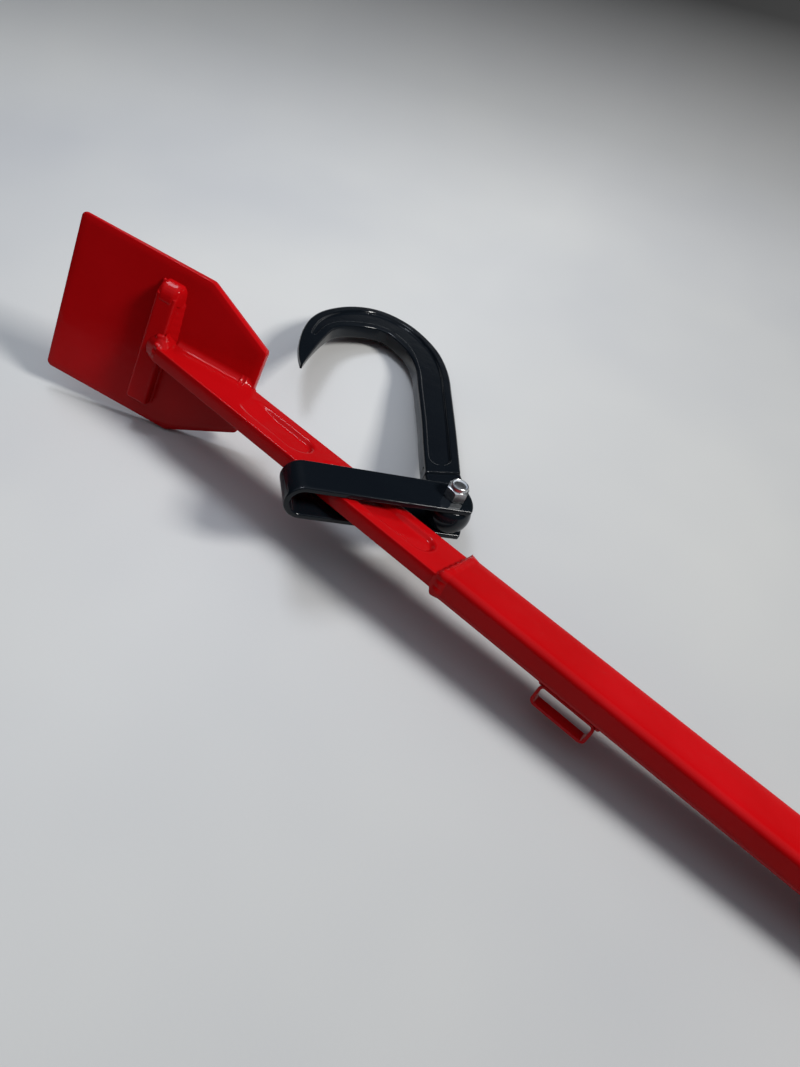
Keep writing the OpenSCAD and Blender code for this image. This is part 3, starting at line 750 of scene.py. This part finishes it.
def loop_rings():
    cx, cz = LOOP["front"] - LOOP["l"] / 2, -TUBE["half_t"] - LOOP["h"] / 2
    rings, b, wall = [], LOOP["burr"], LOOP["wall"]
    top, bottom = LOOP["top"], LOOP["top"] - LOOP["depth"]
    for inset, y in ((b, top), (0, top - b), (0, bottom + b), (b, bottom),
                     (wall - b, bottom), (wall, bottom + b), (wall, top - b), (wall - b, top)):
        corner = max(LOOP["corner"] - inset, LOOP["least_corner"])
        outline = round_rectangle(LOOP["l"] / 2 - inset, LOOP["h"] / 2 - inset, corner, 8, 8)
        rings.append([(cx + a, y, cz + c) for a, c in outline])
    return rings


make_piece("hanger_loop_slice", *skin(loop_rings(), closed_path=True), *red_steel, "hanger_loop", 30.0)
loop_z = -TUBE["half_t"] - 0.8
loop_lines = []
for k, x in enumerate((LOOP["front"] + 0.3, LOOP["front"] - LOOP["l"] - 0.3)):
    ends = [(x, LOOP["top"] - LOOP["depth"] + 2, loop_z), (x, LOOP["top"] - 3, loop_z)]
    loop_lines.append((ends, 2.4, 2.8, 2.2, 0.12, 51 + k))
weld_bead("loop_beads", "loop_welds", loop_lines, 0.5, 5)


# Strap
# Flat bar, 36 by 5, bent hot into a long U round the front bar. It slides along
# the bar and cants against it under load; its ends are cropped to a flat curve.
STRAP = {"w": 36.0, "th": 5.0, "tilt": math.radians(9.0), "swivel": math.radians(-131.0), "bolt_x": 52.0,
         "bolt_off": 38.0, "play": 0.95, "over": 7.5, "end": 17.0, "end_r": 34.0, "bow_l": 18.0, "edge": 1.3}
STRAP["gap"] = (2 * BAR["half_t"] * math.cos(STRAP["tilt"])
                + 2 * BAR["half_w"] * math.sin(STRAP["tilt"]) + STRAP["play"])
strap_reach = STRAP["bolt_off"] + 2 * BAR["half_w"] + STRAP["w"] / 2 * abs(math.cos(STRAP["swivel"]))
STRAP["l"] = (strap_reach / math.cos(STRAP["tilt"]) / abs(math.sin(STRAP["swivel"]))
              + STRAP["over"] - STRAP["gap"] / 2)
bolt_y = -BAR["half_w"] - STRAP["bolt_off"]
ON_STRAP = (Matrix.Translation((STRAP["bolt_x"], bolt_y, -math.tan(STRAP["tilt"]) * bolt_y))
            @ Matrix.Rotation(-STRAP["tilt"], 4, "X") @ Matrix.Rotation(STRAP["swivel"], 4, "Z"))

# The cropped end's broken edge, as pairs of how far back and how far in.
STRAP_EDGE = ((0.0, 1.1), (0.12, 0.7), (0.4, 0.3), (0.9, 0.0))


def strap_path():
    """Stations of the flat bar's middle line: place, outward direction, bow of the section, set-in."""
    middle_r, w, r = STRAP["gap"] / 2 + STRAP["th"] / 2, STRAP["w"] / 2, STRAP["end_r"]
    corner = STRAP["end"] - r + math.sqrt(r * r - w * w)
    leg = [(corner - back, 1.0, inset) for back, inset in STRAP_EDGE]
    straight_from = corner - STRAP_EDGE[-1][0]
    leg += [(straight_from - STRAP["bow_l"] * k / 12, 1 - ease(k / 12), 0.0) for k in range(1, 13)]
    start = leg[-1][0]
    leg += [(start - (STRAP["l"] + start) * k / 40, 0.0, 0.0) for k in range(1, 40)]
    out = [((x, middle_r), (0.0, 1.0), bow, inset) for x, bow, inset in leg]
    for k in range(0, 37):
        a = math.radians(90 + 180 * k / 36)
        out.append(((-STRAP["l"] + middle_r * math.cos(a), middle_r * math.sin(a)),
                    (math.cos(a), math.sin(a)), 0.0, 0.0))
    for (x, z), _, bow, inset in reversed(out[:len(leg)]):
        out.append(((x, -z), (0.0, -1.0), bow, inset))
    return out


def strap_rings():
    rings, e, w, r = [], STRAP["edge"], STRAP["w"] / 2, STRAP["end_r"]
    across = (0.85, 0.7, 0.55, 0.4, 0.2, 0.0, -0.2, -0.4, -0.55, -0.7, -0.85)
    for (x, z), (nx, nz), bow, inset in strap_path():
        t, half = STRAP["th"] / 2 - inset, w - inset * 1.4
        ring = []
        for sw, st, start in ((1, 1, 0), (-1, 1, 90), (-1, -1, 180), (1, -1, 270)):
            for k in range(6):
                a = math.radians(start + 18 * k)
                ring.append((sw * (half - e) + e * math.cos(a), st * (t - e) + e * math.sin(a)))
            if sw == st:
                ring += [(sw * (half - e) * f, st * t) for f in across]
        rings.append([(x + nx * b + bow * (math.sqrt(r * r - a * a) - math.sqrt(r * r - w * w)), a,
                       z + nz * b) for a, b in ring])
    return rings


make_piece("strap_flat_bar", *skin(strap_rings()), black_enamel, "black_paint", "strap", "hook_strap",
           35.0, ON_STRAP)


# Turning hook
# Drop forging with a recessed web on both faces, thinner at its point and at
# the neck. Its barrel-shaped eye turns on the bolt between the strap's legs.
BOLT_R = 6.0
HOOK = {"t": 16.0, "outer_rim": 8.5, "inner_rim": 3.8, "rim_grows": 4.4, "rim_from": 180.0, "rim_l": 70.0,
        "web_from": 11.0, "pocket": 3.0, "draft": 2.0, "least_web": 3.0, "edge": 2.4, "tip": 5.0,
        "tip_l": 90.0, "step_u": 0.88, "step_lean": 0.39, "lean_l": 34.0, "step_l": 1.8, "step_in": 1.6,
        "steps": 360, "steps_across": 64}

# The hook's middle line from the neck to the point, with its width there.
HOOK_LINE = [(3, 36, 34), (5, 46, 35), (11, 78, 36), (20, 124, 36.5), (30, 181, 38), (37, 224, 39),
             (35.5, 260, 42), (26, 286, 45), (12, 305, 47), (-8, 314, 48), (-33, 310, 43), (-60, 296, 34),
             (-78, 278, 28), (-91, 254, 24), (-101, 228, 17.5), (-107, 207, 10), (-110.5, 190, 2)]

# The web ends past this corner; the hook grows thinner from a place in a direction.
WEB_TO_X, WEB_TO_Y = -70, 250
THIN_FROM = Vector((-78.0, 270.0))
THIN_WAY = math.radians(-110)
THIN_PAST_X = -50


def on_line(u):
    """Place and width at u, counted in stations along the hook's middle line."""
    i = min(int(math.floor(u)), len(HOOK_LINE) - 1)
    t = u - i
    a, b, c, d = (Vector(HOOK_LINE[max(0, min(len(HOOK_LINE) - 1, i + k))]) for k in (-1, 0, 1, 2))
    return b + 0.5 * t * (c - a + t * (2 * a - 5 * b + 4 * c - d + t * (3 * (b - c) + d - a)))


def hook_rings():
    last, first = len(HOOK_LINE) - 1, HOOK["step_u"]
    stations = [first + (last - first) * k / HOOK["steps"] for k in range(HOOK["steps"] + 1)]
    places = [on_line(u) for u in stations]
    run = [0.0]
    for p, q in zip(places, places[1:]):
        run.append(run[-1] + (q.xy - p.xy).length)
    stop = next(s for s, p in zip(run, places) if p.x < WEB_TO_X and p.y < WEB_TO_Y)
    thin_way = Vector((math.cos(THIN_WAY), math.sin(THIN_WAY)))
    rings = []
    for u, s, p in zip(stations, run, places):
        ahead_p, behind = on_line(min(u + 0.05, last)), on_line(max(u - 0.05, 0))
        d = (ahead_p.xy - behind.xy).normalized()
        n = Vector((d.y, -d.x))
        half = max(p.z / 2, 0.4)
        past = (p.xy - THIN_FROM).dot(thin_way) if p.x < THIN_PAST_X else -2.0
        thick = HOOK["t"] / 2 - max(past + 2, 0.0) * (HOOK["t"] - HOOK["tip"]) / 2 / HOOK["tip_l"]
        edge = min(HOOK["edge"], half * 0.45, thick * 0.6)
        to_step = max(0.0, 1 - s / HOOK["step_l"])
        edge_in = (1 - math.sqrt(max(0.0, 1 - to_step ** 2))) * HOOK["step_in"]
        inner = HOOK["inner_rim"] + HOOK["rim_grows"] * ease((s - HOOK["rim_from"]) / HOOK["rim_l"])
        shift = (inner - HOOK["outer_rim"]) / 2
        web = half - (inner + HOOK["outer_rim"]) / 2
        lean = HOOK["step_lean"] * (1 - ease(s / HOOK["lean_l"]))

        def sink(a, s=s, thick=thick, shift=shift, web=web):
            if web <= 0:
                return 0.0
            along = min(s - HOOK["web_from"], stop - s)
            across = abs(a - shift)
            inside = web - across if along > web else web - math.hypot(across, web - along)
            return min(HOOK["pocket"], max(thick - HOOK["least_web"], 0.0)) * ease(inside / HOOK["draft"])

        ring = forged_ring(half - edge_in * 0.3, thick, edge, sink, HOOK["steps_across"])
        rings.append([(p.x + n.x * a + d.x * lean * a, p.y + n.y * a + d.y * lean * a,
                       t * (1 - edge_in / thick)) for a, t in ring])
    return rings


def between(x, table):
    for (x0, y0), (x1, y1) in zip(table, table[1:]):
        if x <= x1:
            return y0 + (y1 - y0) * ease((x - x0) / (x1 - x0))
    return table[-1][1]


# The neck, and its two sides as (distance from the bolt, place across) points.
NECK = {"l": 52.0, "t": 11.0, "edge": 2.6, "steps": 26}
NECK_LEFT = ((0, -14.0), (38, -13.5), (50, -12.6))
NECK_RIGHT = ((0, 14.0), (35, 24.3), (52, 24.3))


def neck_rings():
    """The thinner stretch between the hook's step and the eye."""
    rings = []
    for k in range(NECK["steps"] + 1):
        y = NECK["l"] * k / NECK["steps"]
        left, right_edge = between(y, NECK_LEFT), between(y, NECK_RIGHT)
        mid, half = (left + right_edge) / 2, (right_edge - left) / 2
        ring = forged_ring(half, NECK["t"] / 2, NECK["edge"], lambda a: 0.0, 16)
        rings.append([(mid + a, y, b) for a, b in ring])
    return rings


EYE = {"r": 18.0, "bulge": 3.0, "edge": 1.6, "play": 0.3, "bore": BOLT_R + 0.1}


def turned_rings(outline, steps=64):
    """A profile of (radius, height) points, turned once round the bolt."""
    rings = []
    for k in range(steps):
        a = 2 * math.pi * k / steps
        rings.append([(r * math.cos(a), r * math.sin(a), z) for r, z in outline])
    return rings


def eye_rings():
    """The eye's boss, turned about the bolt: a barrel with soft edges."""
    half, r, e = STRAP["gap"] / 2 - EYE["play"], EYE["r"], EYE["edge"]
    outline = [(EYE["bore"], half), (r - e, half)]
    for k in range(1, 5):
        a = math.radians(18 * k)
        outline.append((r - e + e * math.sin(a), half - e + e * math.cos(a)))
    outline += [(r + EYE["bulge"] * math.cos(math.radians(90 * f)), half * f)
                for f in (0.8, 0.65, 0.5, 0.35, 0.2)]
    outline += [(r + EYE["bulge"], 0.0)]
    outline += [(a, -b) for a, b in reversed(outline[:-1])]
    return turned_rings(outline, 72)


def together(*skins):
    """The verts and faces of several skins as one."""
    verts, faces = [], []
    for more_verts, more_faces in skins:
        faces += [tuple(len(verts) + k for k in f) for f in more_faces]
        verts += more_verts
    return verts, faces


hook = together(skin(hook_rings()), skin(neck_rings()), skin(eye_rings(), closed_path=True))
make_piece("hook_forging", *hook, black_enamel, "black_paint", "hook", "turning_hook", 50.0, ON_STRAP)


# Bolt and lock nut
# M12 bolt, head below, with a zinc-plated lock nut. The nut's rolled collar
# holds a nylon ring, and the bolt's threaded end comes up through it.
NUT = {"af": 18.0, "hex_h": 10.0, "full_h": 14.0, "collar": 8.0, "head_h": 7.5, "bite": 0.97,
       "bite_slope": 0.55, "bore": BOLT_R + 0.05}
THREAD = {"from": 4.0, "pitch": 1.5, "depth": 0.55}


def plated_finish():
    material, tree, shader = new_finish("zinc_plating")
    place = place_on_piece(tree)
    stain = noise(tree, place, scale=240.0, detail=4.0)
    feed(tree, shader, {
        "Base Color": colour_ramp(tree, stain, ((0.3, (0.36, 0.38, 0.40)), (0.75, (0.66, 0.67, 0.67)))),
        "Roughness": span(tree, stain, low=0.0, high=1.0, to_low=0.2, to_high=0.42),
        "Normal": bump(tree, noise(tree, place, scale=2200.0), strength=0.15, distance=0.00005),
        "Metallic": 1.0})
    return material


zinc_plating = plated_finish()


def hex_radius(angle):
    return NUT["af"] / 2 / math.cos(math.radians((angle % 60.0) - 30.0))


def hex_rings(z0, z1, soft0, soft1, hole):
    """A hexagon from z0 to z1; its corners are turned off at the ends that are soft."""
    angles = [2.5 * k for k in range(144)]
    bite = NUT["af"] / 2 * NUT["bite"]

    def ring(r_of, z_of):
        return [(r_of(a) * math.cos(math.radians(a)), r_of(a) * math.sin(math.radians(a)), z_of(a))
                for a in angles]

    def drop(a):
        return max(hex_radius(a) - bite, 0.0) * NUT["bite_slope"]

    return [ring(lambda a: hole, lambda a: z0),
            ring(lambda a: bite if soft0 else hex_radius(a) * 0.99, lambda a: z0),
            ring(hex_radius, lambda a: z0 + (drop(a) if soft0 else 0.1)),
            ring(hex_radius, lambda a: z1 - (drop(a) if soft1 else 0.1)),
            ring(lambda a: bite if soft1 else hex_radius(a) * 0.99, lambda a: z1),
            ring(lambda a: hole, lambda a: z1)]


strap_face = STRAP["gap"] / 2 + STRAP["th"]
h, c = strap_face + NUT["hex_h"] - 0.6, NUT["collar"]
collar = [(c - 1.5, h), (c, h), (c, h + 3.0), (c - 0.12, h + 3.6), (c - 0.4, h + 4.1), (c - 0.8, h + 4.45),
          (c - 1.15, h + 4.5), (c - 1.4, h + 4.25), (c - 1.4, h + 3.7), (c - 0.9, h + 3.5),
          (c - 0.9, h + 0.6)]
nut = together(
    skin(hex_rings(strap_face, strap_face + NUT["hex_h"], True, True, NUT["bore"]), closed_path=True),
    skin(turned_rings(collar), closed_path=True))
make_piece("lock_nut_zinc", *nut, zinc_plating, "zinc", "strap", "lock_nut", 28.0, ON_STRAP)

bolt_end, turns = strap_face + NUT["full_h"] - 1.0, strap_face + THREAD["from"]
core = BOLT_R - THREAD["depth"]
shank = [(0.02, -strap_face), (BOLT_R, -strap_face), (BOLT_R, turns)]
while turns < bolt_end - 1.6:
    shank += [(BOLT_R, turns + 0.2), (core, turns + 0.7), (core, turns + 0.85), (BOLT_R, turns + 1.35)]
    turns += THREAD["pitch"]
shank += [(BOLT_R - 0.2, bolt_end - 0.9), (BOLT_R - 0.9, bolt_end - 0.25), (BOLT_R - 2.2, bolt_end),
          (0.02, bolt_end)]
bolt = together(skin(hex_rings(-strap_face - NUT["head_h"], -strap_face, True, False, 0.4)),
                skin(turned_rings(shank), closed_path=True))
make_piece("bolt_m12", *bolt, zinc_plating, "zinc", "strap", "hook_bolt", 28.0, ON_STRAP)


# Nylon ring
# Moulded in milky, slightly bluish nylon and pressed into the nut's collar,
# where the bolt's thread cuts into it and is held.
NYLON = {"in": BOLT_R + 0.02, "out": NUT["collar"] - 0.95}


def nylon_finish():
    material, tree, shader = new_finish("nylon_ring")
    place = place_on_piece(tree)
    cloud = noise(tree, place, scale=420.0)
    feed(tree, shader, {
        "Base Color": colour_ramp(tree, cloud, ((0.0, (0.52, 0.56, 0.62)), (1.0, (0.72, 0.75, 0.78)))),
        "Normal": bump(tree, cloud, strength=0.2, distance=0.00005), "Roughness": 0.45})
    return material


low, high = strap_face + NUT["hex_h"] - 0.3, strap_face + NUT["full_h"] - 0.9
nylon = [(NYLON["in"], low), (NYLON["out"], low), (NYLON["out"], high - 0.15), (NYLON["out"] - 0.2, high),
         (NYLON["in"] + 0.23, high), (NYLON["in"], high - 0.25)]
make_piece("nut_insert_nylon", *skin(turned_rings(nylon), closed_path=True), nylon_finish(), "nylon",
           "strap", "nut_insert", 30.0, ON_STRAP)


# End plug
# Black moulded cap pushed into the handle's end, with a rounded face and the
# fine spark-eroded texture of its mould.
PLUG_PLAY, PLUG_L = 0.1, 25.0

# The cap's rounded edge, as pairs of how far behind the tube and how far in.
PLUG_EDGE = ((4.0, 2.6), (3.8, 1.5), (3.2, 0.6), (2.2, 0.1), (1.4, 0.0), (PLUG_PLAY, 0.0))


def plug_finish():
    material, tree, shader = new_finish("moulded_plug")
    place = place_on_piece(tree)
    cloud = noise(tree, place, scale=90.0)
    grain = add_node(tree, "ShaderNodeTexVoronoi", {"Vector": place, "Scale": 1400.0})["Distance"]
    feed(tree, shader, {
        "Base Color": colour_ramp(tree, cloud, ((0.0, (0.012, 0.012, 0.013)), (1.0, (0.024, 0.024, 0.025)))),
        "Normal": bump(tree, grain, strength=0.3, distance=0.0001), "Roughness": 0.5})
    return material


plug_rings = [tube_ring(TUBE["back"] - behind, inset) for behind, inset in PLUG_EDGE]
plug_rings += [tube_ring(x, TUBE["wall"] + PLUG_PLAY)
               for x in (TUBE["back"] - PLUG_PLAY, TUBE["back"] + PLUG_L)]
make_piece("handle_plug", *skin(plug_rings), plug_finish(), "plug_plastic", "lever", "end_plug", 35.0)
